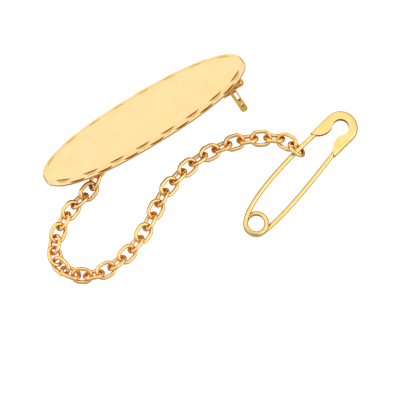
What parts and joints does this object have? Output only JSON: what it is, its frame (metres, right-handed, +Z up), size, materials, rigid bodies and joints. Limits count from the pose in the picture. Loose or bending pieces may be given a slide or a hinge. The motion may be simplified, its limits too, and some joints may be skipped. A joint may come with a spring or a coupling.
{
  "type": "oval brooch with safety chain",
  "caption": "Thin oval gold brooch with a diamond-cut border, pin and catch, and a cable chain that ends in a small safety pin, lying flat.",
  "frame": {"origin": "on the surface the brooch lies on, below the middle of its bounding box", "axes": "+X to the right of the picture's picture and along the longest side, +Y away from the viewer, +Z up"},
  "size_m": [0.0404, 0.0296, 0.0064],
  "materials": {
    "plate_gold": "satin gold face with bright diamond-cut marks",
    "pin_gold": "polished gold",
    "chain_gold": "polished gold",
    "wire_gold": "drawn gold wire",
    "cap_gold": "matt pressed gold sheet"
  },
  "bodies": {
    "root": {"plate": "plate_gold", "brooch_pin": "pin_gold", "link_01": "chain_gold", "link_02": "chain_gold", "link_03": "chain_gold", "link_04": "chain_gold", "link_05": "chain_gold", "link_06": "chain_gold", "link_07": "chain_gold", "link_08": "chain_gold", "link_09": "chain_gold", "link_10": "chain_gold", "link_11": "chain_gold", "link_12": "chain_gold", "link_13": "chain_gold", "link_14": "chain_gold", "link_15": "chain_gold", "link_16": "chain_gold", "link_17": "chain_gold", "link_18": "chain_gold", "link_19": "chain_gold", "link_20": "chain_gold", "link_21": "chain_gold", "link_22": "chain_gold", "link_23": "chain_gold", "link_24": "chain_gold", "link_25": "chain_gold", "link_26": "chain_gold", "link_27": "chain_gold", "link_28": "chain_gold", "link_29": "chain_gold", "link_30": "chain_gold", "link_31": "chain_gold", "end_ring": "chain_gold", "safety_pin": "wire_gold", "safety_pin_cap": "cap_gold"}
  },
  "joints": []
}
